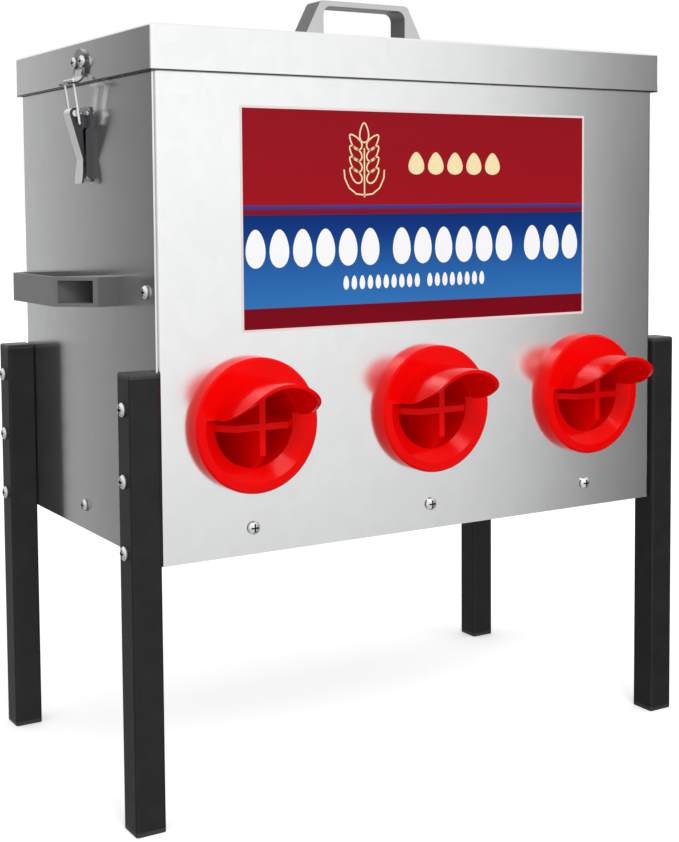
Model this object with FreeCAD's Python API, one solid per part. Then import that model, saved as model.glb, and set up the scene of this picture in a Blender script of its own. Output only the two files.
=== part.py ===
import FreeCAD, Part
import math
import os

# Knock-down galvanised poultry feeder: a sheet-steel hopper on four tube legs,
# three hooded feeding ports, carrying handles and a lift-off lid held down by
# two toggle latches.  Millimetres.  X to the right, Y to the back, Z up.

# ---- driving dimensions -------------------------------------------------
body_width = 400.0          # over the two side panels
body_depth = 240.0          # over the front and back panels
body_bottom = 165.0         # underside of the hopper above the floor
lid_top = 495.0             # upper face of the closed lid
sheet = 0.8                 # galvanised sheet thickness
bend = 2.4                  # outside radius of the folded panel edges
return_flange = 26.0        # depth of the folded-in panel edges
tray_bend = 1.7             # outside radius of the bottom tray's corners
seam_set_back = 2.6         # how far the side panels stop short of the folds

lid_skirt = 28.0            # height of the lid's folded rim
lid_overhang = 3.0          # the rim stands this far outside the panels
lid_hem = 6.0               # height of the folded-back hem
lid_travel_gap = 0.2        # play between panel tops and the lid

leg_size = 20.0             # square tube, across the flats
leg_wall = 1.2
leg_height = 285.0
leg_proud = 3.0             # legs stand in front of the front panel by this
leg_cap = 3.0               # visible thickness of the plastic end caps
leg_plug = 12.0             # depth of the caps' plugs in the tube
leg_bolt_levels = (175.0, 219.0, 263.0)

port_pitch = 136.0          # spacing of the three ports
port_level = 248.0          # height of the port centres
port_flange_r = 43.0
port_flange_t = 9.0
port_funnel_r = 36.5
port_bore_r = 27.5
port_barrel_r = 30.0
port_barrel_depth = 58.0    # reach of the barrel behind the panel face
hood_r = 30.5
hood_wall = 2.3
hood_reach = 50.0           # from the panel face to the hood's brow
vane = 4.2                  # thickness of the divider vanes
vane_reach = 14.0
vane_front_half = 18.0

label_width = 277.0
label_x = -4.0              # the label sits a little left of the middle
label_bottom = 306.0
label_top = 448.0
label_t = 0.2

screw_level = 182.0         # row of screws holding the bottom tray
corner_screw_level = 333.0
corner_screw_y = 104.5

side_handle_low = 322.0
side_handle_high = 341.0
side_handle_reach = 36.0
side_handle_half = 60.5
lid_handle_half = 54.0
lid_handle_top = 529.0
lid_handle_y = -30.0
lid_handle_depth = 19.0

latch_y = -10.0             # centre line of both latches
pivot_out = 10.0            # lever pivot, outwards from the side panel
pivot_level = 447.0
knuckle_r = 3.8             # rounded top of the lever
lever_t = 1.2
lever_half = 5.7            # half the lever's width
bail_pin_out = 8.0          # the bail turns in the lever at this point
bail_pin_level = 440.2
bail_bar_out = 11.8         # the bail's cross bar, lying on the keeper's shelf
bail_bar_level = 468.5
bail_half = 8.0             # half the spacing of the two bail wires
wire_r = 1.0
keeper_t = 1.2
keeper_out = 4.8            # outer face of the keeper, from the side panel
running_gap = 0.05

# ---- derived sizes ------------------------------------------------------
half_w = body_width / 2.0
half_d = body_depth / 2.0
flange_half_w = half_w - sheet
panel_top = lid_top - sheet - lid_travel_gap
leg_y = half_d + leg_proud - leg_size / 2.0
leg_x = half_w + leg_size / 2.0
port_centres = (-port_pitch, 0.0, port_pitch)
# the frame's origin is under the middle of the overall box
front_reach = half_d + hood_reach
back_reach = half_d + leg_proud
y_shift = (front_reach - back_reach) / 2.0


# ---- small helpers ------------------------------------------------------
def vec(x, y, z):
    return FreeCAD.Vector(x, y, z)


def block(x0, x1, y0, y1, z0, z1):
    return Part.makeBox(x1 - x0, y1 - y0, z1 - z0, vec(x0, y0, z0))


def rod(radius, start, direction, length):
    return Part.makeCylinder(radius, length, start, direction)


def loop(points):
    closed = list(points) + [points[0]]
    return Part.Face(Part.makePolygon(closed))


def plate_xy(points, z0, z1):
    face = loop([vec(x, y, z0) for x, y in points])
    return face.extrude(vec(0, 0, z1 - z0))


def plate_xz(points, y0, y1):
    face = loop([vec(x, y0, z) for x, z in points])
    return face.extrude(vec(0, y1 - y0, 0))


def plate_yz(points, x0, x1):
    face = loop([vec(x0, y, z) for y, z in points])
    return face.extrude(vec(x1 - x0, 0, 0))


def round_edges(shape, radius, chosen):
    edges = [e for e in shape.Edges if chosen(e)]
    return shape.makeFillet(radius, edges)


def upright(edge):
    a = edge.Vertexes[0].Point
    b = edge.Vertexes[-1].Point
    return abs(a.x - b.x) < 1e-6 and abs(a.y - b.y) < 1e-6


def turned(shape, direction):
    # parts are drawn along +Z and turned to their own direction
    out = shape.copy()
    out.Placement = FreeCAD.Placement(vec(0, 0, 0), FreeCAD.Rotation(vec(0, 0, 1), direction))
    return out


def placed(shape, direction, point):
    out = turned(shape, direction)
    out.translate(point)
    return out


def mirrored(shape):
    return shape.mirror(vec(0, 0, 0), vec(1, 0, 0))


def save(name, shapes):
    if not isinstance(shapes, (list, tuple)):
        shapes = [shapes]
    solids = []
    for shape in shapes:
        solids.extend(shape.Solids)
    moved = []
    for solid in solids:
        copy = solid.copy()
        copy.translate(vec(0, y_shift, 0))
        moved.append(copy)
    out = moved[0] if len(moved) == 1 else Part.makeCompound(moved)
    out.exportStep("parts/" + name + ".step")


# ---- fasteners, drawn along +Z with the head's seat at the origin --------
def pan_screw(head_r, head_h, shank_r, length):
    # domed head above the seat, shank below it
    profile = [vec(0, 0, 0), vec(head_r, 0, 0), vec(head_r, 0, head_h * 0.45)]
    rim = vec(head_r, 0, head_h * 0.45)
    crown = vec(0, 0, head_h)
    middle = vec(head_r * 0.72, 0, head_h * 0.88)
    edges = [Part.makeLine(profile[0], profile[1]), Part.makeLine(profile[1], rim)]
    edges.append(Part.Arc(rim, middle, crown).toShape())
    edges.append(Part.makeLine(crown, profile[0]))
    face = Part.Face(Part.Wire(edges))
    head = face.revolve(vec(0, 0, 0), vec(0, 0, 1), 360)
    slot_w = head_r * 0.27
    slot_l = head_r * 0.62
    depth = head_h * 0.55
    for half_x, half_y in ((slot_l, slot_w / 2), (slot_w / 2, slot_l)):
        cut = block(-half_x, half_x, -half_y, half_y, head_h - depth, head_h + 1)
        head = head.cut(cut)
    shank = rod(shank_r, vec(0, 0, -length), vec(0, 0, 1), length)
    return head.fuse(shank).removeSplitter()


def flange_nut(flats, height, hole_r):
    # hexagon with a thin round flange, lying on the +Z side of the origin
    corner = flats / math.sqrt(3.0)
    points = []
    for i in range(6):
        a = math.radians(60 * i)
        points.append((corner * math.cos(a), corner * math.sin(a)))
    hexagon = plate_xy(points, 0, height)
    base = rod(corner + 0.3, vec(0, 0, 0), vec(0, 0, 1), 0.8)
    hole = rod(hole_r, vec(0, 0, -1), vec(0, 0, 1), height + 2)
    return hexagon.fuse(base).cut(hole).removeSplitter()


def rivet(shank_r, head_r, grip):
    # outer head above the seat, clinched tail at the far side of the grip
    shank = rod(shank_r, vec(0, 0, -grip - 1.0), vec(0, 0, 1), grip + 1.0)
    head = rod(head_r, vec(0, 0, 0), vec(0, 0, 1), 1.1)
    head = round_edges(head, 0.8, lambda e: e.BoundBox.ZMin > 1.0)
    tail = rod(head_r * 0.85, vec(0, 0, -grip - 1.0), vec(0, 0, 1), 1.0)
    return head.fuse(shank).fuse(tail).removeSplitter()


screw_r = 2.0
screw_hole = 2.25
nut_height = 3.6
nut_hole = screw_r + 0.03


# ---- where every fastener goes ------------------------------------------
def leg_bolt_points():
    return [(side, sy * leg_y, z) for side in (-1, 1) for sy in (-1, 1) for z in leg_bolt_levels]


def corner_screw_points():
    return [(side, sy * corner_screw_y) for side in (-1, 1) for sy in (-1, 1)]


def tray_front_xs():
    return (-port_pitch, 0.0, port_pitch)


tray_side_y = 5.0
handle_screw_y = 49.0
handle_level = (side_handle_low + side_handle_high) / 2.0
rivet_spots = [(latch_y + dy, z) for dy in (-5.95, 5.95) for z in (407.0, 447.0)]
keeper_screw_dy = 7.0
keeper_screw_level = 481.0


def side_holes(side):
    # every hole through a side panel, as short rods along X
    spots = [(sy * leg_y, z, screw_hole) for sy in (-1, 1) for z in leg_bolt_levels]
    spots += [(sy * corner_screw_y, corner_screw_level, screw_hole) for sy in (-1, 1)]
    spots += [(tray_side_y, screw_level, screw_hole)]
    spots += [(sy * handle_screw_y, handle_level, screw_hole) for sy in (-1, 1)]
    spots += [(y, z, 1.2) for y, z in rivet_spots]
    rods = []
    for y, z, r in spots:
        rods.append(rod(r, vec(side * (half_w - 4), y, z), vec(side, 0, 0), 8))
    return rods


# ---- hopper sheet metal --------------------------------------------------
def folded_wall():
    # front panel: a flat wall with both edges folded back
    w = flange_half_w
    y0 = -half_d
    y1 = -half_d + return_flange
    outer = block(-w, w, y0, y1, body_bottom, panel_top)
    outer = round_edges(outer, bend, lambda e: upright(e) and e.BoundBox.YMax < y0 + 1)
    inner = block(-w + sheet, w - sheet, y0 + sheet, y1 + 5, body_bottom - 1, panel_top + 1)
    inner = round_edges(inner, bend - sheet, lambda e: upright(e) and e.BoundBox.YMax < y0 + 2)
    wall = outer.cut(inner)
    for side in (-1, 1):
        for z in leg_bolt_levels:
            start = vec(side * (half_w - 5), -leg_y, z)
            wall = wall.cut(rod(screw_hole, start, vec(side, 0, 0), 8))
        start = vec(side * (half_w - 5), -corner_screw_y, corner_screw_level)
        wall = wall.cut(rod(screw_hole, start, vec(side, 0, 0), 8))
    for x in tray_front_xs():
        start = vec(x, -half_d - 2, screw_level)
        wall = wall.cut(rod(screw_hole, start, vec(0, 1, 0), 6))
    return wall


def front_panel():
    wall = folded_wall()
    for x in port_centres:
        start = vec(x, -half_d - 2, port_level)
        wall = wall.cut(rod(port_barrel_r + 0.2, start, vec(0, 1, 0), 6))
    return wall


def back_panel():
    return folded_wall().mirror(vec(0, 0, 0), vec(0, 1, 0))


def side_panel(side):
    y = half_d - seam_set_back
    x0 = min(side * half_w, side * (half_w - sheet))
    wall = block(x0, x0 + sheet, -y, y, body_bottom, panel_top)
    for hole in side_holes(side):
        wall = wall.cut(hole)
    return wall


def bottom_tray():
    x = half_w - 2 * sheet
    y = half_d - sheet
    rim_top = body_bottom + 28.0
    outer = block(-x, x, -y, y, body_bottom, rim_top)
    outer = round_edges(outer, tray_bend, upright)
    inner = block(-x + sheet, x - sheet, -y + sheet, y - sheet, body_bottom + sheet, rim_top + 1)
    inner = round_edges(inner, tray_bend - sheet, upright)
    tray = outer.cut(inner)
    for side in (-1, 1):
        for sy in (-1, 1):
            start = vec(side * (x - 4), sy * leg_y, leg_bolt_levels[0])
            tray = tray.cut(rod(screw_hole, start, vec(side, 0, 0), 8))
        start = vec(side * (x - 4), tray_side_y, screw_level)
        tray = tray.cut(rod(screw_hole, start, vec(side, 0, 0), 8))
        for px in tray_front_xs():
            start = vec(px, side * (y - 4), screw_level)
            tray = tray.cut(rod(screw_hole, start, vec(0, side, 0), 8))
    return tray


def slope_plate():
    # slants from the back wall down to the tray so the feed runs to the ports
    half = half_w - 2 * sheet - sheet - 0.4
    back = half_d - sheet - 0.02
    floor = body_bottom + sheet
    toe = -45.0
    heel_z = 285.0
    points = [
        (back, heel_z + 15.0), (back, heel_z), (toe, floor), (toe - 15.0, floor),
        (toe - 15.0, floor + sheet), (toe + 0.4, floor + sheet),
        (back - sheet, heel_z + 1.0), (back - sheet, heel_z + 15.0)]
    return plate_yz(points, -half, half)


# ---- legs ----------------------------------------------------------------
def leg_tube(side, sy):
    cx = side * leg_x
    cy = sy * leg_y
    h = leg_size / 2.0
    i = h - leg_wall
    z0 = leg_cap
    z1 = leg_height - leg_cap
    outer = block(cx - h, cx + h, cy - h, cy + h, z0, z1)
    outer = round_edges(outer, 1.8, upright)
    inner = block(cx - i, cx + i, cy - i, cy + i, z0 - 1, z1 + 1)
    inner = round_edges(inner, 0.8, upright)
    tube = outer.cut(inner)
    for z in leg_bolt_levels:
        start = vec(cx - side * (h + 2), cy, z)
        tube = tube.cut(rod(screw_hole, start, vec(side, 0, 0), leg_size + 4))
    return tube


def leg_plug_block(cx, cy, z0, z1):
    i = leg_size / 2.0 - leg_wall - 0.05
    plug = block(cx - i, cx + i, cy - i, cy + i, z0, z1)
    plug = round_edges(plug, 1.2, upright)
    c = i - 1.6
    core = block(cx - c, cx + c, cy - c, cy + c, z0 - 1, z1 + 1)
    return plug.cut(core)


def foot_cap(side, sy):
    cx = side * leg_x
    cy = sy * leg_y
    h = leg_size / 2.0
    pad = block(cx - h, cx + h, cy - h, cy + h, 0, leg_cap)
    pad = round_edges(pad, 1.8, upright)
    pad = round_edges(pad, 0.6, lambda e: e.BoundBox.ZMax < 0.01)
    return pad.fuse(leg_plug_block(cx, cy, leg_cap, leg_cap + leg_plug)).removeSplitter()


def top_cap(side, sy):
    cx = side * leg_x
    cy = sy * leg_y
    h = leg_size / 2.0
    z0 = leg_height - leg_cap
    pad = block(cx - h, cx + h, cy - h, cy + h, z0, leg_height)
    pad = round_edges(pad, 1.8, upright)
    pad = round_edges(pad, 1.5, lambda e: e.BoundBox.ZMin > leg_height - 0.01)
    return pad.fuse(leg_plug_block(cx, cy, z0 - leg_plug, z0)).removeSplitter()


# ---- feeding ports -------------------------------------------------------
def ring(cx, r_out, r_in, p0, p1):
    # p is the distance in front of the panel face
    start = vec(cx, -half_d - p1, port_level)
    outer = rod(r_out, start, vec(0, 1, 0), p1 - p0)
    inner = rod(r_in, start - vec(0, 1, 0), vec(0, 1, 0), p1 - p0 + 2)
    return outer.cut(inner)


def port_disc(cx):
    # turned about the port's own axis: rim, flat face, funnel and barrel
    t = port_flange_t
    pts = [
        (port_bore_r, -port_barrel_depth), (port_barrel_r, -port_barrel_depth),
        (port_barrel_r, 0.0), (port_flange_r, 0.0), (port_flange_r, t - 1.4),
        (port_flange_r - 1.4, t), (port_funnel_r, t), (port_bore_r, t - 6.0)]
    face = loop([vec(cx + r, -half_d - p, port_level) for r, p in pts])
    return face.revolve(vec(cx, 0, port_level), vec(0, 1, 0), 360)


def hood_side_cutter(cx, top):
    # keeps what lies above the hood's swept lower edge
    edge = [
        (0.0, 6.0), (15.0, 6.2), (21.5, 7.0), (28.0, 8.8), (33.5, 11.2), (39.0, 14.0),
        (43.5, 16.8), (46.7, 19.8), (48.9, 23.4), (hood_reach, 27.4), (hood_reach, top)]
    pts = [(-half_d - p, port_level + z) for p, z in edge]
    pts.append((-half_d, port_level + top))
    return plate_yz(pts, cx - 50, cx + 50)


def hood(cx):
    shell = ring(cx, hood_r, hood_r - hood_wall, 0.0, hood_reach)
    shell = shell.common(hood_side_cutter(cx, 40.0))
    # behind the hood the funnel is filled up to the flat face
    web = ring(cx, port_funnel_r + 0.5, port_bore_r, 0.0, port_flange_t)
    top_half = block(cx - 50, cx + 50, -half_d - 60, -half_d, port_level + 6.0, port_level + 60)
    web = web.common(top_half)
    return shell.fuse(web)


def divider(cx):
    front = vane_reach
    back = -port_barrel_depth + 4.0
    h = port_bore_r + 0.6
    f = vane_front_half
    outline = [(back, h), (2.0, h), (front, f), (front, -f), (2.0, -h), (back, -h)]
    upright_vane = plate_yz(
        [(-half_d - p, port_level + w) for p, w in outline], cx - vane / 2, cx + vane / 2)
    level_pts = [(cx + w, -half_d - p) for p, w in outline]
    level_vane = plate_xy(level_pts, port_level - vane / 2, port_level + vane / 2)
    return upright_vane.fuse(level_vane)


def port(cx):
    body = port_disc(cx).fuse(hood(cx))
    return body.fuse(divider(cx)).removeSplitter()


def lock_nut(cx):
    # round plastic nut with grip lugs, behind the front panel
    p1 = -sheet
    p0 = -sheet - 8.0
    nut = ring(cx, 36.0, port_barrel_r + 0.1, p0, p1)
    for i in range(8):
        a = math.radians(45 * i + 22.5)
        lug = block(-3, 3, -half_d - p1, -half_d - p0, 34.5, 38.5)
        lug.rotate(vec(0, 0, 0), vec(0, 1, 0), math.degrees(a))
        lug.translate(vec(cx, 0, port_level))
        nut = nut.fuse(lug)
    return nut.removeSplitter()


# ---- handles -------------------------------------------------------------
def side_handle():
    # left handle; the bar stands off the panel on two hollow tapered feet
    a = side_handle_half
    r = side_handle_reach
    foot = 14.0
    bar = 40.0
    grip = 37.0
    z0 = side_handle_low
    z1 = side_handle_high
    outline = [(-a, 0), (-a, foot), (-bar, r), (bar, r), (a, foot), (a, 0)]
    solid = plate_xy([(-half_w - p, y) for y, p in outline], z0, z1)
    solid = round_edges(solid, 2.0, lambda e: upright(e) and e.BoundBox.XMax < -half_w - 5)
    hole = block(-half_w - r + 3.2, -half_w + 1, -grip, grip, z0 - 1, z1 + 1)
    hole = round_edges(hole, 5.0, lambda e: upright(e) and e.BoundBox.XMax < -half_w - 5)
    solid = solid.cut(hole)
    for s in (-1, 1):
        pocket = [(grip + 2.6, 3.0), (a - 2.4, 3.0), (a - 2.4, foot + 20), (grip + 2.6, foot + 20)]
        pts = [(-half_w - p, s * y) for y, p in pocket]
        solid = solid.cut(plate_xy(pts, z0 + 2.2, z1 - 2.2))
        start = vec(-half_w + 1, s * handle_screw_y, handle_level)
        solid = solid.cut(rod(screw_hole, start, vec(-1, 0, 0), 6))
    return solid


def lid_handle():
    z0 = lid_top
    z1 = lid_handle_top
    a = lid_handle_half
    top_half = 36.5
    grip = 34.0
    y0 = lid_handle_y - lid_handle_depth / 2.0
    y1 = lid_handle_y + lid_handle_depth / 2.0
    outline = [(-a, z0), (-top_half, z1), (top_half, z1), (a, z0)]
    solid = plate_xz(outline, y0, y1)
    solid = round_edges(solid, 4.0, lambda e: e.BoundBox.ZMin > z1 - 0.01 and e.BoundBox.XLength < 1)
    hole = block(-grip, grip, y0 - 1, y1 + 1, z0 - 1, z1 - 4.0)
    hole = round_edges(hole, 6.0, lambda e: e.BoundBox.ZMin > z1 - 4.01 and e.BoundBox.XLength < 1)
    solid = solid.cut(hole)
    solid = round_edges(solid, 0.6, lambda e: e.BoundBox.YLength < 0.01 and e.BoundBox.ZMax > z0 + 1)
    for s in (-1, 1):
        start = vec(s * 43.5, lid_handle_y, z0 - 1)
        solid = solid.cut(rod(screw_r, start, vec(0, 0, 1), 11))
    return solid


# ---- lid -----------------------------------------------------------------
def lid_shell():
    x = half_w + lid_overhang
    y = half_d + lid_overhang
    low = lid_top - lid_skirt
    outer = block(-x, x, -y, y, low, lid_top)
    outer = round_edges(outer, 1.8, upright)
    outer = round_edges(outer, 1.6, lambda e: e.BoundBox.ZMin > lid_top - 0.01)
    xi = x - sheet
    yi = y - sheet
    inner = block(-xi, xi, -yi, yi, low - 1, lid_top - sheet)
    inner = round_edges(inner, 1.0, upright)
    hem_ring = block(-x + 0.4, x - 0.4, -y + 0.4, y - 0.4, low, low + lid_hem)
    hem_hole = block(-x + 1.6, x - 1.6, -y + 1.6, y - 1.6, low - 1, low + lid_hem + 1)
    shell = outer.cut(inner).fuse(hem_ring.cut(hem_hole)).removeSplitter()
    for s in (-1, 1):
        for dy in (-keeper_screw_dy, keeper_screw_dy):
            start = vec(s * (x - 4), latch_y + dy, keeper_screw_level)
            shell = shell.cut(rod(1.6, start, vec(s, 0, 0), 8))
        start = vec(s * 43.5, lid_handle_y, lid_top - 4)
        shell = shell.cut(rod(screw_hole, start, vec(0, 0, 1), 8))
    return shell


# ---- toggle latch, drawn on the left side --------------------------------
def out_z(points, y0, y1):
    # outline in (distance out from the panel, height), spread along Y
    return plate_xz([(-half_w - o, z) for o, z in points], y0, y1)


def pin_along_y(out, level, radius, y0, y1):
    return rod(radius, vec(-half_w - out, y0, level), vec(0, 1, 0), y1 - y0)


def latch_base():
    # riveted plate with two turned-up edges and two ears for the lever's pin
    y = latch_y
    plate = block(-half_w - 1.2, -half_w, y - 9.0, y + 9.0, 402.0, 451.5)
    base = round_edges(plate, 2.0, lambda e: e.BoundBox.XLength > 1.0)
    edge = [(0.4, 404.0), (0.4, 438.0), (1.8, 438.0), (4.0, 435.5), (4.0, 405.6), (2.6, 404.0)]
    ear = [(0.4, 412.0), (0.4, 446.0), (pivot_out - 2.3, pivot_level - 0.6), (pivot_out, pivot_level),
           (pivot_out + 0.9, pivot_level - 2.2), (4.2, 424.0)]
    for s in (-1, 1):
        y0, y1 = sorted((y + s * 7.8, y + s * 9.0))
        base = base.fuse(out_z(edge, y0, y1))
        y0, y1 = sorted((y + s * 2.9, y + s * 4.1))
        base = base.fuse(out_z(ear, y0, y1))
        base = base.fuse(pin_along_y(pivot_out, pivot_level, 2.4, y0, y1))
    base = base.cut(pin_along_y(pivot_out, pivot_level, 1.5, y - 9, y + 9))
    for ry, rz in rivet_spots:
        base = base.cut(rod(1.2, vec(-half_w + 1, ry, rz), vec(-1, 0, 0), 4))
    return base.removeSplitter()


def pivot_pin():
    y = latch_y
    pin = pin_along_y(pivot_out, pivot_level, 1.5, y - 5.9, y + 5.9)
    for y0 in (y - 6.6, y + 5.8):
        pin = pin.fuse(pin_along_y(pivot_out, pivot_level, 2.2, y0, y0 + 0.8))
    return pin.removeSplitter()


def lever():
    # pressed strip rolled round at the top, with two cheeks and a flared foot
    y = latch_y
    w = lever_half
    elbow = (5.2, 417.0)
    foot = (6.6, 401.0)
    run_out = pivot_out - elbow[0]
    rise = pivot_level - elbow[1]
    span = math.hypot(run_out, rise)
    lean = math.atan2(run_out, rise) + math.asin(knuckle_r / span)
    out_n = math.cos(lean)
    up_n = -math.sin(lean)
    top = (pivot_out + knuckle_r * out_n, pivot_level + knuckle_r * up_n)
    inner_top = (top[0] - lever_t * out_n, top[1] - lever_t * up_n)
    inner_elbow = (elbow[0] - lever_t * out_n, elbow[1] - lever_t * up_n)
    strip = out_z([top, elbow, inner_elbow, inner_top], y - w, y + w)
    knuckle = pin_along_y(pivot_out, pivot_level, knuckle_r, y - w, y + w)
    knuckle = knuckle.cut(pin_along_y(pivot_out, pivot_level, knuckle_r - lever_t, y - w - 1, y + w + 1))
    ray = math.radians(68.0)
    sector = [
        (pivot_out, pivot_level), (pivot_out + 9 * out_n, pivot_level + 9 * up_n),
        (pivot_out + 9, pivot_level + 5),
        (pivot_out + 9 * math.cos(ray), pivot_level + 9 * math.sin(ray))]
    knuckle = knuckle.common(out_z(sector, y - w, y + w))
    flare = out_z([elbow, foot, (foot[0] - lever_t, foot[1]), inner_elbow], y - 8.0, y + 8.0)
    f = w + 1.1
    keep = [(-w, 418.0), (-w, 415.0), (-f, 409.0), (-f, 403.0), (-w, 401.0),
            (w, 401.0), (f, 403.0), (f, 409.0), (w, 415.0), (w, 418.0)]
    flare = flare.common(plate_yz([(y + a, z) for a, z in keep], -half_w - 30, -half_w))
    body = strip.fuse(knuckle).fuse(flare)
    cheek = [
        (top[0] - 0.2, top[1]), (elbow[0] - 0.2, elbow[1]), (6.2, 405.5), (5.4, 405.5), (3.1, 413.0),
        (4.6, 434.0), (5.7, 441.0), (pivot_out - 3.6, pivot_level + 0.6),
        (pivot_out - 2.4, pivot_level + 2.8), (pivot_out, pivot_level + 3.7),
        (pivot_out + 2.3, pivot_level + 2.9), (pivot_out + 3.6, pivot_level + 0.5)]
    for y0 in (y - w, y + w - 1.2):
        body = body.fuse(out_z(cheek, y0, y0 + 1.2))
    body = body.cut(pin_along_y(pivot_out, pivot_level, 1.5 + running_gap, y - 9, y + 9))
    hole = pin_along_y(bail_pin_out, bail_pin_level, wire_r + running_gap, y - 9, y + 9)
    return body.cut(hole).removeSplitter()


def bail():
    # one bent wire: two pins, two uprights and the cross bar
    y = latch_y
    a = vec(-half_w - bail_pin_out, 0, bail_pin_level)
    b = vec(-half_w - bail_bar_out, 0, bail_bar_level)
    along = b - a
    wire = pin_along_y(bail_bar_out, bail_bar_level, wire_r, y - bail_half, y + bail_half)
    for s in (-1, 1):
        shift = vec(0, y + s * bail_half, 0)
        upright_wire = rod(wire_r, a + shift, along, along.Length)
        wire = wire.fuse(upright_wire)
        for corner in (a, b):
            wire = wire.fuse(Part.makeSphere(wire_r + 0.002, corner + shift))
        y0, y1 = sorted((y + s * bail_half, y + s * 4.4))
        wire = wire.fuse(pin_along_y(bail_pin_out, bail_pin_level, wire_r, y0, y1))
    return wire.removeSplitter()


def keeper_outline(head_r, neck_half, low):
    # round head narrowing to a neck, about the latch's centre line
    pts = []
    for i in range(25):
        a = math.radians(-32.0 + 244.0 * i / 24)
        pts.append((latch_y + head_r * math.cos(a), 478.6 + head_r * math.sin(a)))
    return pts + [(latch_y - neck_half, low), (latch_y + neck_half, low)]


def keeper():
    # pressed cap on the lid's rim, ending in a turned-out shelf under the bail; the
    # bail leans inwards at its foot, so its pull holds the cross bar on the shelf
    y = latch_y
    o0 = -half_w - keeper_out
    o1 = -half_w - lid_overhang
    cap = plate_yz(keeper_outline(11.0, 6.2, 471.4), o0, o1)
    cap = cap.cut(plate_yz(keeper_outline(9.8, 5.0, 460.0), o0 + keeper_t, o1 + 1))
    profile = [
        (keeper_out, 476.0), (5.8, 471.6), (8.6, 468.5), (11.0, 467.1), (14.8, 466.95),
        (14.8, 465.8), (10.7, 465.85), (7.9, 467.4), (4.7, 471.0), (keeper_out - keeper_t, 476.0)]
    hook = out_z(profile, y - 12, y + 12)
    keep = [(-6.2, 476.0), (-6.2, 472.6), (-11.5, 470.4), (-11.5, 460.0),
            (11.5, 460.0), (11.5, 470.4), (6.2, 472.6), (6.2, 476.0)]
    hook = hook.common(plate_yz([(y + a, z) for a, z in keep], -half_w - 30, -half_w))
    for s in (-1, 1):
        c = y + s * bail_half
        hook = hook.cut(block(-half_w - 20, -half_w - 9.8, c - 1.4, c + 1.4, 460.0, 473.0))
    out = cap.fuse(hook)
    for dy in (-keeper_screw_dy, keeper_screw_dy):
        start = vec(-half_w, y + dy, keeper_screw_level)
        out = out.cut(rod(1.6, start, vec(-1, 0, 0), 8))
    return out.removeSplitter()


# ---- groups of fasteners -------------------------------------------------
def leg_bolts():
    reach = leg_size + 2 * sheet + sheet + nut_height + 0.6
    shape = pan_screw(4.4, 2.9, screw_r, reach)
    out = []
    for side, y, z in leg_bolt_points():
        out.append(placed(shape, vec(side, 0, 0), vec(side * (half_w + leg_size), y, z)))
    return out


def leg_nuts():
    shape = flange_nut(7.0, nut_height, nut_hole)
    out = []
    for side, y, z in leg_bolt_points():
        depth = 2 * sheet + (sheet if z == leg_bolt_levels[0] else 0.0)
        out.append(placed(shape, vec(-side, 0, 0), vec(side * (half_w - depth), y, z)))
    return out


def wall_screw_spots():
    # (seat point, outward direction, thickness gripped)
    spots = []
    for side, y in corner_screw_points():
        spots.append((vec(side * half_w, y, corner_screw_level), vec(side, 0, 0), 2 * sheet))
    for side in (-1, 1):
        spots.append((vec(side * half_w, tray_side_y, screw_level), vec(side, 0, 0), 3 * sheet))
    for sy in (-1, 1):
        for x in tray_front_xs():
            spots.append((vec(x, sy * half_d, screw_level), vec(0, sy, 0), 2 * sheet))
    return spots


def wall_screws():
    out = []
    for seat, direction, grip in wall_screw_spots():
        shape = pan_screw(4.2, 2.6, screw_r, grip + nut_height + 0.6)
        out.append(placed(shape, direction, seat))
    return out


def wall_nuts():
    shape = flange_nut(7.0, nut_height, nut_hole)
    out = []
    for seat, direction, grip in wall_screw_spots():
        out.append(placed(shape, direction * -1, seat - direction * grip))
    return out


def handle_screws():
    out = []
    shape = pan_screw(4.0, 2.4, screw_r, 3.0 + sheet + nut_height + 0.6)
    for side in (-1, 1):
        for s in (-1, 1):
            seat = vec(side * (half_w + 3.0), s * handle_screw_y, handle_level)
            out.append(placed(shape, vec(side, 0, 0), seat))
    return out


def handle_nuts():
    shape = flange_nut(7.0, nut_height, nut_hole)
    out = []
    for side in (-1, 1):
        for s in (-1, 1):
            seat = vec(side * (half_w - sheet), s * handle_screw_y, handle_level)
            out.append(placed(shape, vec(-side, 0, 0), seat))
    return out


def latch_rivets():
    shape = rivet(1.2, 1.7, 1.2 + sheet)
    out = []
    for side in (-1, 1):
        for y, z in rivet_spots:
            out.append(placed(shape, vec(side, 0, 0), vec(side * (half_w + 1.2), y, z)))
    return out


def lid_handle_screws():
    shape = pan_screw(4.0, 2.4, screw_r, sheet + 9.0)
    out = []
    for s in (-1, 1):
        out.append(placed(shape, vec(0, 0, -1), vec(s * 43.5, lid_handle_y, lid_top - sheet)))
    return out


def keeper_screws():
    grip = keeper_out - lid_overhang + sheet
    shape = pan_screw(3.9, 2.2, 1.5, grip + 1.5)
    out = []
    seat_x = half_w + keeper_out
    for side in (-1, 1):
        for dy in (-keeper_screw_dy, keeper_screw_dy):
            seat = vec(side * seat_x, latch_y + dy, keeper_screw_level)
            out.append(placed(shape, vec(side, 0, 0), seat))
    return out


def keeper_nuts():
    shape = flange_nut(5.5, 1.5, 1.5)
    out = []
    seat_x = half_w + lid_overhang - sheet
    for side in (-1, 1):
        for dy in (-keeper_screw_dy, keeper_screw_dy):
            seat = vec(side * seat_x, latch_y + dy, keeper_screw_level)
            out.append(placed(shape, vec(-side, 0, 0), seat))
    return out


def label():
    half = label_width / 2.0
    return block(label_x - half, label_x + half, -half_d - label_t, -half_d, label_bottom, label_top)


# ---- write every part ----------------------------------------------------
os.makedirs("parts", exist_ok=True)

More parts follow.
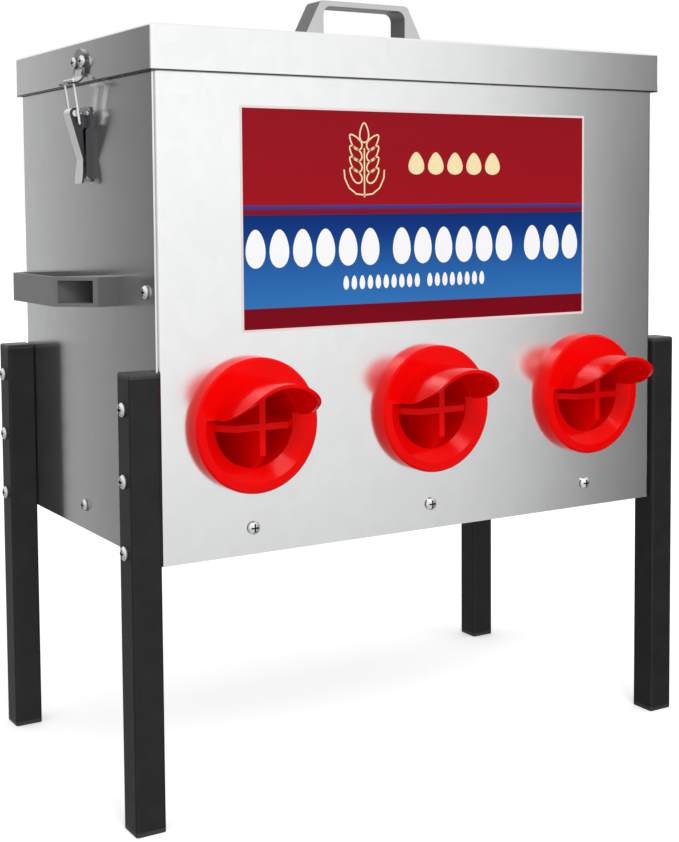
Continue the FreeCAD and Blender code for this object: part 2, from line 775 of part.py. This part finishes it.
save("front_panel", front_panel())
save("back_panel", back_panel())
save("side_panel_left", side_panel(-1))
save("side_panel_right", side_panel(1))
save("bottom_tray", bottom_tray())
save("feed_slope_plate", slope_plate())
save("front_label", label())

for name, cx in zip(("left", "middle", "right"), port_centres):
    save("port_" + name, port(cx))
    save("port_lock_nut_" + name, lock_nut(cx))

for end_name, sy in (("front", -1), ("back", 1)):
    for side_name, side in (("left", -1), ("right", 1)):
        tag = end_name + "_" + side_name
        save("leg_" + tag, leg_tube(side, sy))
        save("leg_top_cap_" + tag, top_cap(side, sy))
        save("leg_foot_cap_" + tag, foot_cap(side, sy))

save("leg_bolts", leg_bolts())
save("leg_bolt_nuts", leg_nuts())
save("wall_screws", wall_screws())
save("wall_screw_nuts", wall_nuts())
save("side_handle_screws", handle_screws())
save("side_handle_nuts", handle_nuts())
save("latch_base_rivets", latch_rivets())

left_pieces = (
    ("side_handle", side_handle()), ("latch_base", latch_base()), ("latch_pivot_pin", pivot_pin()),
    ("latch_lever", lever()), ("latch_bail", bail()), ("latch_keeper", keeper()))
for name, shape in left_pieces:
    save(name + "_left", shape)
    save(name + "_right", mirrored(shape))

save("lid_shell", lid_shell())
save("lid_handle", lid_handle())
save("lid_handle_screws", lid_handle_screws())
save("keeper_screws", keeper_screws())
save("keeper_nuts", keeper_nuts())
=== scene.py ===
import math

import bmesh
import bpy
from mathutils import Matrix, Vector


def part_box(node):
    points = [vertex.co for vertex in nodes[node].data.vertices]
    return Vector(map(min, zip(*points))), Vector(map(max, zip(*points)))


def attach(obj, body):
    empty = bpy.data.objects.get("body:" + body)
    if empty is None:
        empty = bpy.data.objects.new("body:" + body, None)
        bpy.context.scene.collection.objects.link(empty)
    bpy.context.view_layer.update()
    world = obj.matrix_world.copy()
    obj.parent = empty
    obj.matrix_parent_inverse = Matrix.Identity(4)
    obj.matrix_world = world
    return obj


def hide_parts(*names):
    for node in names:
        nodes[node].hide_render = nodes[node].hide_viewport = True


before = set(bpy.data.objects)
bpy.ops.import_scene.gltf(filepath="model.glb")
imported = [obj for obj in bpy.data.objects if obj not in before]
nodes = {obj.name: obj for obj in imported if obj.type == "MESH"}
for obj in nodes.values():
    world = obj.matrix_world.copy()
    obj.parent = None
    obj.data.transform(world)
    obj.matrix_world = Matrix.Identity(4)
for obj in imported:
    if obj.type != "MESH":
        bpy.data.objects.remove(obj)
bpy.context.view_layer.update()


def edges(name):
    # a node's low and high corners as the frame has them, to the micrometre
    low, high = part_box(name)
    return [round(v, 6) for v in low], [round(v, 6) for v in high]


FRONT_Y = edges("front_panel")[0][1]
LID_SHEET = 0.0008
LID_SHADE_TOP = edges("lid_shell")[0][2] + LID_SHEET        # top of the band along the lid's lower edge that is painted dark as shade under the rim
LID_SHADE_SOFTNESS = 0.0002
# painted shade: colour of the lid's lowest band, standing in for the shadow under the rim
LID_PAINTED_SHADE = (0.03, 0.03, 0.03)


# ---- node material helpers ------------------------------------------------
def new_material(name):
    mat = bpy.data.materials.new(name)
    mat.use_nodes = True
    tree = mat.node_tree
    tree.nodes.clear()
    out = tree.nodes.new("ShaderNodeOutputMaterial")
    bsdf = tree.nodes.new("ShaderNodeBsdfPrincipled")
    tree.links.new(bsdf.outputs[0], out.inputs["Surface"])
    return mat, tree, bsdf


def node(tree, kind, **values):
    n = tree.nodes.new(kind)
    for key, value in values.items():
        setattr(n, key, value)
    return n


def coords(tree):
    return node(tree, "ShaderNodeTexCoord").outputs["Object"]


def stretch(tree, vector, scale):
    m = node(tree, "ShaderNodeMapping")
    m.inputs["Scale"].default_value = scale
    tree.links.new(vector, m.inputs["Vector"])
    return m.outputs["Vector"]


def noise(tree, vector, scale, detail=3.0, rough=0.55):
    n = node(tree, "ShaderNodeTexNoise")
    n.inputs["Scale"].default_value = scale
    n.inputs["Detail"].default_value = detail
    n.inputs["Roughness"].default_value = rough
    tree.links.new(vector, n.inputs["Vector"])
    return n.outputs["Fac"]


def spread(tree, value, low, high, from_low=0.3, from_high=0.7):
    m = node(tree, "ShaderNodeMapRange")
    m.inputs["From Min"].default_value = from_low
    m.inputs["From Max"].default_value = from_high
    m.inputs["To Min"].default_value = low
    m.inputs["To Max"].default_value = high
    tree.links.new(value, m.inputs["Value"])
    return m.outputs["Result"]


def blend_colour(tree, factor, a, b):
    m = node(tree, "ShaderNodeMix", data_type="RGBA")
    m.inputs["A"].default_value = (*a, 1.0)
    m.inputs["B"].default_value = (*b, 1.0)
    tree.links.new(factor, m.inputs["Factor"])
    return m.outputs["Result"]


def maths(tree, operation, value, other=None, constant=None):
    m = node(tree, "ShaderNodeMath", operation=operation)
    tree.links.new(value, m.inputs[0])
    if other is not None:
        tree.links.new(other, m.inputs[1])
    if constant is not None:
        m.inputs[1].default_value = constant
    return m.outputs[0]


def axes(tree, vector):
    split = node(tree, "ShaderNodeSeparateXYZ")
    tree.links.new(vector, split.inputs[0])
    return split.outputs


def colour_ramp(tree, value, stops):
    # stops: (position from 0 to 1, colour)
    ramp = node(tree, "ShaderNodeValToRGB")
    tree.links.new(value, ramp.inputs["Fac"])
    marks = ramp.color_ramp.elements
    while len(marks) < len(stops):
        marks.new(0.5)
    for mark, (position, colour) in zip(marks, stops):
        mark.position = position
        mark.color = (*colour, 1.0)
    return ramp.outputs["Color"]


def add_bump(tree, bsdf, height, strength, distance):
    b = node(tree, "ShaderNodeBump")
    b.inputs["Strength"].default_value = strength
    b.inputs["Distance"].default_value = distance
    tree.links.new(height, b.inputs["Height"])
    tree.links.new(b.outputs["Normal"], bsdf.inputs["Normal"])


# ---- materials --------------------------------------------------------------
def galvanised(name, light=1.0, rough=0.20, shade_top=None):
    # satin zinc sheet: very faint spangle and broad haze in the roughness; given a height, the lid's
    # lowest band up to it is painted dark, painted shade under the lid's rim
    mat, t, b = new_material(name)
    at = coords(t)
    cells = node(t, "ShaderNodeTexVoronoi")
    cells.inputs["Scale"].default_value = 110.0
    t.links.new(stretch(t, at, (1.0, 1.0, 0.8)), cells.inputs["Vector"])
    tone = node(t, "ShaderNodeSeparateColor")
    t.links.new(cells.outputs["Color"], tone.inputs[0])
    cloud = noise(t, at, 9.0, 4.0)
    both = node(t, "ShaderNodeMath", operation="MULTIPLY_ADD")
    both.inputs[1].default_value = 0.35
    t.links.new(tone.outputs[0], both.inputs[0])
    t.links.new(cloud, both.inputs[2])
    mix = spread(t, both.outputs[0], 0.0, 1.0, 0.35, 1.0)
    lo = tuple(c * light for c in (0.845, 0.85, 0.855))
    hi = tuple(c * light for c in (0.885, 0.89, 0.895))
    sheet = blend_colour(t, mix, lo, hi)
    if shade_top is None:
        t.links.new(sheet, b.inputs["Base Color"])
    else:
        # painted shade: the lid's lowest band is darkened as the shadow under its rim would be
        painted_shade_band = spread(t, axes(t, at)["Z"], 1, 0, shade_top - LID_SHADE_SOFTNESS, shade_top + LID_SHADE_SOFTNESS)
        mix_second_colour(t, b, sheet, painted_shade_band, LID_PAINTED_SHADE)
    b.inputs["Specular Tint"].default_value = (1.0, 1.0, 1.0, 1.0)
    haze = noise(t, at, 5.0, 2.0)
    t.links.new(spread(t, haze, rough - 0.008, rough + 0.008), b.inputs["Roughness"])
    b.inputs["Metallic"].default_value = 1.0
    return mat


def powder_coat(name):
    mat, t, b = new_material(name)
    at = coords(t)
    peel = noise(t, at, 900.0, 3.0)
    t.links.new(blend_colour(t, spread(t, noise(t, at, 60.0), 0, 1),
                             (0.007, 0.007, 0.008), (0.012, 0.012, 0.013)), b.inputs["Base Color"])
    t.links.new(spread(t, peel, 0.38, 0.52), b.inputs["Roughness"])
    b.inputs["Specular IOR Level"].default_value = 0.30
    add_bump(t, b, peel, 0.22, 0.0004)
    return mat


def moulded(name, dark, light, rough, grain_scale, grain_strength, shine=0.5, painted_glow=0.0):
    mat, t, b = new_material(name)
    at = coords(t)
    t.links.new(blend_colour(t, spread(t, noise(t, at, 35.0), 0, 1), dark, light), b.inputs["Base Color"])
    t.links.new(spread(t, noise(t, at, 260.0), rough - 0.04, rough + 0.05), b.inputs["Roughness"])
    b.inputs["Specular IOR Level"].default_value = shine
    # painted light: a faint emission, when given, in the moulding's own light colour brightens the red ports
    # as bounced light would
    b.inputs["Emission Color"].default_value = (*light, 1.0)
    b.inputs["Emission Strength"].default_value = painted_glow
    add_bump(t, b, noise(t, at, grain_scale, 3.0), grain_strength, 0.0004)
    return mat


def bright_metal(name, low, high, rough):
    mat, t, b = new_material(name)
    at = coords(t)
    t.links.new(blend_colour(t, spread(t, noise(t, at, 180.0), 0, 1), low, high), b.inputs["Base Color"])
    t.links.new(spread(t, noise(t, at, 420.0), rough - 0.05, rough + 0.07), b.inputs["Roughness"])
    b.inputs["Metallic"].default_value = 1.0
    add_bump(t, b, noise(t, at, 900.0), 0.05, 0.0003)
    return mat


def facing_y(tree, low, high):
    # 0 on faces turned to the sides, top and bottom, 1 on faces turned to the front and back
    normal = node(tree, "ShaderNodeTexCoord").outputs["Normal"]
    return spread(tree, maths(tree, "ABSOLUTE", axes(tree, normal)["Y"]), 0, 1, low, high)


def mix_second_colour(tree, bsdf, face, factor, other):
    mix = node(tree, "ShaderNodeMix", data_type="RGBA")
    tree.links.new(factor, mix.inputs["Factor"])
    tree.links.new(face, mix.inputs["A"])
    mix.inputs["B"].default_value = (*other, 1.0)
    tree.links.new(mix.outputs["Result"], bsdf.inputs["Base Color"])


def pressed_plate(name, low, high, painted_edge_shade, rough, metal):
    # plated pressing; the cheeks and edges turned along Y take a darker colour than the broad faces: painted
    # shade
    mat, t, b = new_material(name)
    at = coords(t)
    face = blend_colour(t, spread(t, noise(t, at, 180.0), 0, 1), low, high)
    mix_second_colour(t, b, face, facing_y(t, 0.55, 0.85), painted_edge_shade)
    t.links.new(spread(t, noise(t, at, 60.0), rough - 0.01, rough + 0.02), b.inputs["Roughness"])
    b.inputs["Metallic"].default_value = metal
    return mat


def handle_plastic(name, low, high, front, rough):
    # grained moulding; the faces turned to the front and back take another tone than the rest: painted light
    # and shade by facing, lighter on the lid handle and darker on the side handles
    mat, t, b = new_material(name)
    at = coords(t)
    face = blend_colour(t, spread(t, noise(t, at, 35.0), 0, 1), low, high)
    mix_second_colour(t, b, face, facing_y(t, 0.5, 0.95), front)
    t.links.new(spread(t, noise(t, at, 260.0), rough - 0.04, rough + 0.05), b.inputs["Roughness"])
    add_bump(t, b, noise(t, at, 1300.0, 3.0), 0.2, 0.0004)
    return mat


def fastener_metal(name, low, high, dark, rough):
    # plated screws: the crevices of the recess and under the head are darkened by ambient occlusion: painted
    # shade
    mat, t, b = new_material(name)
    at = coords(t)
    face = blend_colour(t, spread(t, noise(t, at, 180.0), 0, 1), low, high)
    crevice_occlusion = node(t, "ShaderNodeAmbientOcclusion", samples=12)
    crevice_occlusion.inputs["Distance"].default_value = 0.0030
    # painted shade: dark colour mixed in where the surface is occluded
    mix_second_colour(t, b, face, spread(t, crevice_occlusion.outputs["AO"], 1, 0, 0.50, 0.92), dark)
    t.links.new(spread(t, noise(t, at, 420.0), rough - 0.03, rough + 0.05), b.inputs["Roughness"])
    b.inputs["Metallic"].default_value = 0.72
    return mat


STEEL = galvanised("galvanised_sheet")
STEEL_LID = galvanised("galvanised_lid", rough=0.21, shade_top=LID_SHADE_TOP)
STEEL_INSIDE = galvanised("galvanised_inside", light=0.85, rough=0.36)
BLACK = powder_coat("black_powder_coat")
CAP = moulded("black_cap_plastic", dark=(0.016, 0.016, 0.017), light=(0.026, 0.026, 0.027),
              rough=0.42, grain_scale=800.0, grain_strength=0.15)
# the glow on the red ports is painted light, an emission standing in for bounced light
RED = moulded("red_port_plastic", dark=(0.74, 0.0009, 0.0009), light=(0.80, 0.0014, 0.0012),
              rough=0.14, grain_scale=500.0, grain_strength=0.02, shine=0.06, painted_glow=0.06)
# front tones: painted shade on the side handles, painted light on the lid handle
GREY = handle_plastic("grey_handle_plastic", low=(0.170, 0.171, 0.169), high=(0.195, 0.196, 0.194),
                      front=(0.088, 0.088, 0.087), rough=0.40)
GREY_LID = handle_plastic("grey_lid_handle_plastic", low=(0.085, 0.085, 0.083), high=(0.105, 0.105, 0.103),
                          front=(0.46, 0.46, 0.455), rough=0.42)
ZINC = fastener_metal("bright_zinc", low=(0.74, 0.74, 0.75), high=(0.84, 0.84, 0.85),
                      dark=(0.02, 0.02, 0.022), rough=0.14)
NICKEL = bright_metal("bright_nickel", low=(0.70, 0.70, 0.71), high=(0.84, 0.84, 0.85), rough=0.16)
# edge tones: painted shade on the cheeks and edges turned along Y
PLATE = pressed_plate("latch_plate", low=(0.46, 0.46, 0.47), high=(0.56, 0.56, 0.57),
                      painted_edge_shade=(0.07, 0.07, 0.073), rough=0.20, metal=1.0)
STRAP = pressed_plate("latch_strap", low=(0.74, 0.74, 0.75), high=(0.82, 0.82, 0.83),
                      painted_edge_shade=(0.030, 0.030, 0.032), rough=0.30, metal=0.25)


def finish_for(name):
    if name.startswith("lid_shell"):
        return STEEL_LID
    if name in ("bottom_tray", "feed_slope_plate"):
        return STEEL_INSIDE
    if "panel" in name:
        return STEEL
    if name.startswith("port_"):
        return RED
    if "_cap_" in name:
        return CAP
    if name.startswith("leg_bolt"):
        return ZINC
    if name.startswith("leg_"):
        return BLACK
    if name == "lid_handle":
        return GREY_LID
    if name in ("side_handle_left", "side_handle_right"):
        return GREY
    if name.startswith("latch_lever"):
        return STRAP
    if name.startswith(("latch_keeper", "latch_base_left", "latch_base_right")):
        return PLATE
    if name.startswith(("latch_bail", "latch_pivot")):
        return NICKEL
    return ZINC


for name, obj in nodes.items():
    obj.data.materials.clear()
    obj.data.materials.append(finish_for(name))


# ---- mesh helpers -------------------------------------------------------------
def add_mesh(name, bm, material, body):
    mesh = bpy.data.meshes.new(name)
    bmesh.ops.recalc_face_normals(bm, faces=bm.faces)
    bm.to_mesh(mesh)
    bm.free()
    obj = bpy.data.objects.new(name, mesh)
    bpy.context.scene.collection.objects.link(obj)
    mesh.materials.append(material)
    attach(obj, body)
    return obj


# ---- printed label --------------------------------------------------------------
(LABEL_LEFT, _, LABEL_LOW), (LABEL_RIGHT, _, LABEL_HIGH) = edges("front_label")
LABEL_MID = (LABEL_LEFT + LABEL_RIGHT) / 2
LABEL_HALF = (LABEL_RIGHT - LABEL_LEFT) / 2
LABEL_BORDER = 0.0016
LABEL_CORNER = 0.0008
FILM_BACK_Y = FRONT_Y - 0.00001
FILM_Y = FRONT_Y - 0.0001
INK_Y = FILM_Y - 0.00005


def outline_solid(bm, points, y_back, y_front):
    back = [bm.verts.new((x, y_back, z)) for x, z in points]
    front = [bm.verts.new((x, y_front, z)) for x, z in points]
    bm.faces.new(front)
    bm.faces.new(back[::-1])
    n = len(points)
    for i in range(n):
        j = (i + 1) % n
        bm.faces.new((back[i], back[j], front[j], front[i]))


def rounded_rect(x0, x1, z0, z1, r, steps=6):
    pts = []
    corners = ((x1 - r, z1 - r, 0), (x0 + r, z1 - r, 90), (x0 + r, z0 + r, 180), (x1 - r, z0 + r, 270))
    for cx, cz, start in corners:
        for i in range(steps + 1):
            a = math.radians(start + 90.0 * i / steps)
            pts.append((cx + r * math.cos(a), cz + r * math.sin(a)))
    return pts


def label_material():
    # bands by height: dark red foot, blue fading up into navy, fine lines, red field; pale border
    mat, t, b = new_material("label_film")
    at = coords(t)
    place = axes(t, at)
    span = LABEL_HIGH - LABEL_LOW
    # height above the label's lower edge, and the colour there
    bands = (
        (0.0000, (0.195, 0.000, 0.008)), (0.0145, (0.170, 0.000, 0.008)),
        (0.0147, (0.028, 0.165, 0.460)), (0.0390, (0.016, 0.110, 0.370)),
        (0.0600, (0.003, 0.040, 0.215)), (0.0735, (0.002, 0.024, 0.165)),
        (0.0737, (0.200, 0.005, 0.020)), (0.0770, (0.205, 0.005, 0.020)),
        (0.0772, (0.040, 0.030, 0.200)), (0.0795, (0.060, 0.045, 0.240)),
        (0.0797, (0.325, 0.004, 0.010)), (0.1400, (0.270, 0.004, 0.011)))
    height = spread(t, place["Z"], 0, 1, LABEL_LOW, LABEL_HIGH)
    field = colour_ramp(t, height, [(up / span, colour) for up, colour in bands])
    from_middle = maths(t, "ABSOLUTE", maths(t, "SUBTRACT", place["X"], constant=LABEL_MID))
    off_side = maths(t, "GREATER_THAN", from_middle, constant=LABEL_HALF - LABEL_BORDER)
    off_top = maths(t, "GREATER_THAN", place["Z"], constant=LABEL_HIGH - LABEL_BORDER)
    off_low = maths(t, "LESS_THAN", place["Z"], constant=LABEL_LOW + LABEL_BORDER)
    border = maths(t, "MAXIMUM", maths(t, "MAXIMUM", off_side, off_top), off_low)
    mix_second_colour(t, b, field, border, (0.76, 0.69, 0.67))
    t.links.new(spread(t, noise(t, at, 300.0), 0.36, 0.44), b.inputs["Roughness"])
    b.inputs["Specular IOR Level"].default_value = 0.08
    add_bump(t, b, noise(t, at, 60.0, 2.0), 0.03, 0.0005)
    return mat


def ink(name, colour, shade):
    mat, t, b = new_material(name)
    at = coords(t)
    fleck = spread(t, noise(t, at, 400.0), 0, 1)
    t.links.new(blend_colour(t, fleck, shade, colour), b.inputs["Base Color"])
    t.links.new(spread(t, noise(t, at, 300.0), 0.30, 0.42), b.inputs["Roughness"])
    return mat


def egg(cx, cz, half_w, half_h, steps):
    pts = []
    for i in range(steps):
        a = 2 * math.pi * i / steps
        lean = 1.0 - 0.16 * math.sin(a)
        pts.append((cx + half_w * lean * math.cos(a), cz + half_h * math.sin(a)))
    return pts


def ribbon(bm, points, width, y_back, y_front, closed=False):
    # a line of even width drawn as a flat strip, mitred at its points
    n = len(points)
    inner, outer = [], []
    for i in range(n):
        a = Vector(points[i - 1] if (i or closed) else points[i])
        c = Vector(points[(i + 1) % n] if (i < n - 1 or closed) else points[i])
        d = (c - a).normalized()
        side = Vector((-d.y, d.x)) * width / 2
        p = Vector(points[i])
        inner.append(p - side)
        outer.append(p + side)
    if closed:
        for i in range(n):
            j = (i + 1) % n
            outline_solid(bm, [tuple(inner[i]), tuple(inner[j]), tuple(outer[j]), tuple(outer[i])],
                          y_back, y_front)
        return
    loop = [tuple(v) for v in inner] + [tuple(v) for v in reversed(outer)]
    outline_solid(bm, loop, y_back, y_front)


def kernel(cx, cz, length, width, angle, steps=18):
    pts = []
    ca, sa = math.cos(angle), math.sin(angle)
    for i in range(steps):
        a = 2 * math.pi * i / steps
        u = length / 2 * math.cos(a)
        v = width / 2 * math.sin(a) * (1.0 - 0.35 * math.cos(a))
        pts.append((cx + u * ca - v * sa, cz + u * sa + v * ca))
    return pts


def ear_of_grain(bm, cx, base, line):
    # a stem, four pairs of kernels, one kernel on top and two leaves, all in outline
    ribbon(bm, [(cx, base), (cx, base + 0.032)], line, FILM_Y, INK_Y)
    for level in range(4):
        z = base + 0.0144 + level * 0.0072
        for side in (-1, 1):
            pair = kernel(cx + side * 0.0068, z, 0.0122, 0.0062, math.radians(90 - side * 42))
            ribbon(bm, pair, line, FILM_Y, INK_Y, closed=True)
    top = kernel(cx, base + 0.0420, 0.0128, 0.0066, math.radians(90))
    ribbon(bm, top, line, FILM_Y, INK_Y, closed=True)
    for side in (-1, 1):
        leaf = [(cx + side * out, base + up) for out, up in (
            (0.0, 0.0015), (0.0062, 0.0022), (0.0118, 0.0062), (0.0150, 0.0125), (0.0155, 0.0180))]
        ribbon(bm, leaf, line, FILM_Y, INK_Y)


def egg_row(bm, groups, x, z, half_w, half_h, pitch, gap, steps):
    # eggs a pitch apart from x to the right, with a wider gap after each group
    for count in groups:
        for _ in range(count):
            outline_solid(bm, egg(x, z, half_w, half_h, steps), FILM_Y, INK_Y)
            x += pitch
        x += gap


def build_label():
    film = bmesh.new()
    outline = rounded_rect(LABEL_LEFT, LABEL_RIGHT, LABEL_LOW, LABEL_HIGH, LABEL_CORNER)
    outline_solid(film, outline, FILM_BACK_Y, FILM_Y)
    piece = add_mesh("label_film", film, label_material(), "hopper")
    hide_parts("front_label")

    cream = ink("cream_ink", (0.90, 0.74, 0.42), (0.86, 0.69, 0.38))
    white = ink("white_ink", (0.90, 0.91, 0.93), (0.88, 0.89, 0.91))

    gold = bmesh.new()
    ear_of_grain(gold, LABEL_MID - 0.0475, LABEL_LOW + 0.0845, line=0.0010)
    for i in range(5):
        x = LABEL_MID - 0.0066 + i * 0.0158
        upright = kernel(x, LABEL_LOW + 0.1070, length=0.0150, width=0.0122, angle=math.radians(90))
        outline_solid(gold, upright, FILM_Y, INK_Y)
    add_mesh("label_gold_print", gold, cream, "hopper")

    pale = bmesh.new()
    egg_row(pale, (6, 6, 3), LABEL_MID - 0.1283, LABEL_LOW + 0.0523,
            half_w=0.0070, half_h=0.0122, pitch=0.0170, gap=0.0078, steps=28)
    egg_row(pale, (10, 8), LABEL_MID - 0.0620, LABEL_LOW + 0.0290,
            half_w=0.0021, half_h=0.0046, pitch=0.0062, gap=0.0040, steps=16)
    add_mesh("label_white_print", pale, white, "hopper")


build_label()


# ---- floor, light, camera ------------------------------------------------------
FLOOR_REACH = 60.0
WHITE = (1.0, 1.0, 1.0, 1.0)


def build_floor():
    # a plain pale floor, kept out of the steel's reflections, which come from the studio surround
    bm = bmesh.new()
    r = FLOOR_REACH
    verts = [bm.verts.new((x, y, 0.0)) for x, y in ((-r, -r), (r, -r), (r, r), (-r, r))]
    bm.faces.new(verts)
    mesh = bpy.data.meshes.new("studio_floor")
    bm.to_mesh(mesh)
    bm.free()
    floor = bpy.data.objects.new("studio_floor", mesh)
    bpy.context.scene.collection.objects.link(floor)
    mat, _, b = new_material("studio_floor")
    b.inputs["Base Color"].default_value = (0.93, 0.93, 0.93, 1.0)
    b.inputs["Roughness"].default_value = 0.9
    b.inputs["Specular IOR Level"].default_value = 0.1
    b.inputs["Emission Color"].default_value = WHITE
    b.inputs["Emission Strength"].default_value = 0.30
    mesh.materials.append(mat)
    floor.visible_glossy = False
    floor.visible_diffuse = False
    floor.visible_shadow = False


def build_world():
    # a soft studio surround whose brightness changes with the compass direction
    world = bpy.data.worlds.new("studio")
    bpy.context.scene.world = world
    world.use_nodes = True
    t = world.node_tree
    t.nodes.clear()
    out = node(t, "ShaderNodeOutputWorld")
    where = axes(t, node(t, "ShaderNodeTexCoord").outputs["Generated"])
    ahead = maths(t, "MULTIPLY", where["Y"], constant=-1.0)
    bearing = spread(t, maths(t, "ARCTAN2", where["X"], ahead), 0, 1, -math.pi, math.pi)
    # brightness at each bearing in degrees, from straight ahead of the front, positive to the right
    bearings = (
        (-180, 0.80), (-160.4, 0.77), (-159.6, 0.06), (-149, 0.06), (-136, 0.30), (-100, 0.45), (-70, 0.75),
        (-40, 1.12), (24, 1.12), (39.6, 1.00), (40.4, 0.0), (54, 0.0), (68, 0.28), (110, 0.60), (150, 0.76),
        (180, 0.80))
    around = colour_ramp(t, bearing, [((deg + 180.0) / 360.0, (v, v, v)) for deg, v in bearings])
    # the ground in front of the feeder is a little darker than the studio wall
    shade = node(t, "ShaderNodeMix", data_type="FLOAT")
    shade.inputs["A"].default_value = 1.0
    t.links.new(spread(t, ahead, 0, 1, -0.2, 0.2), shade.inputs["Factor"])
    t.links.new(spread(t, where["Z"], 0.60, 1.0, -0.35, 0.02), shade.inputs["B"])
    shaded = node(t, "ShaderNodeVectorMath", operation="SCALE")
    t.links.new(around, shaded.inputs[0])
    t.links.new(shade.outputs["Result"], shaded.inputs["Scale"])
    # a white ceiling
    dome = node(t, "ShaderNodeMix", data_type="RGBA")
    t.links.new(spread(t, where["Z"], 0, 1, 0.15, 0.42), dome.inputs["Factor"])
    t.links.new(shaded.outputs["Vector"], dome.inputs["A"])
    dome.inputs["B"].default_value = WHITE
    surround = node(t, "ShaderNodeBackground")
    t.links.new(dome.outputs["Result"], surround.inputs["Color"])
    # what the camera sees past the floor is plain white
    backdrop = node(t, "ShaderNodeBackground")
    backdrop.inputs["Color"].default_value = WHITE
    seen = node(t, "ShaderNodeMixShader")
    t.links.new(node(t, "ShaderNodeLightPath").outputs["Is Camera Ray"], seen.inputs["Fac"])
    t.links.new(surround.outputs[0], seen.inputs[1])
    t.links.new(backdrop.outputs[0], seen.inputs[2])
    t.links.new(seen.outputs[0], out.inputs["Surface"])


def area_light(name, place, target, size, size_y, power):
    data = bpy.data.lights.new(name, "AREA")
    data.shape = "RECTANGLE"
    data.size = size
    data.size_y = size_y
    data.energy = power
    obj = bpy.data.objects.new(name, data)
    obj.location = place
    aim = Vector(target) - Vector(place)
    obj.rotation_mode = "QUATERNION"
    obj.rotation_quaternion = aim.to_track_quat("-Z", "Y")
    bpy.context.scene.collection.objects.link(obj)


CAMERA_PLACE = Vector((-0.55591, FRONT_Y - 0.80771, 0.38580))
CAMERA_YAW = math.radians(30.971)       # turned to the right of straight ahead
CAMERA_PITCH = math.radians(3.796)      # looking down
CAMERA_ROLL = math.radians(-0.418)
CAMERA_SENSOR_MM = 36.0
CAMERA_LENS_MM = 62.072
CAMERA_SHIFT_Y = -0.14252


def build_camera():
    level = math.cos(CAMERA_PITCH)
    ahead = Vector((
        math.sin(CAMERA_YAW) * level, math.cos(CAMERA_YAW) * level, -math.sin(CAMERA_PITCH)))
    flat_right = Vector((math.cos(CAMERA_YAW), -math.sin(CAMERA_YAW), 0.0))
    flat_up = flat_right.cross(ahead)
    right = flat_right * math.cos(CAMERA_ROLL) + flat_up * math.sin(CAMERA_ROLL)
    up = -flat_right * math.sin(CAMERA_ROLL) + flat_up * math.cos(CAMERA_ROLL)
    data = bpy.data.cameras.new("studio_camera")
    data.sensor_width = CAMERA_SENSOR_MM
    data.lens = CAMERA_LENS_MM
    data.shift_y = CAMERA_SHIFT_Y
    data.clip_start = 0.05
    data.clip_end = 50.0
    cam = bpy.data.objects.new("studio_camera", data)
    cam.matrix_world = Matrix((
        (right.x, up.x, -ahead.x, CAMERA_PLACE.x),
        (right.y, up.y, -ahead.y, CAMERA_PLACE.y),
        (right.z, up.z, -ahead.z, CAMERA_PLACE.z),
        (0, 0, 0, 1)))
    bpy.context.scene.collection.objects.link(cam)
    bpy.context.scene.camera = cam


build_floor()
build_world()
area_light("key_softbox", place=(-0.25, -1.3, 1.35), target=(0.0, -0.1, 0.3), size=0.7, size_y=0.4, power=9.0)
build_camera()
bpy.context.scene.view_settings.view_transform = "Standard"
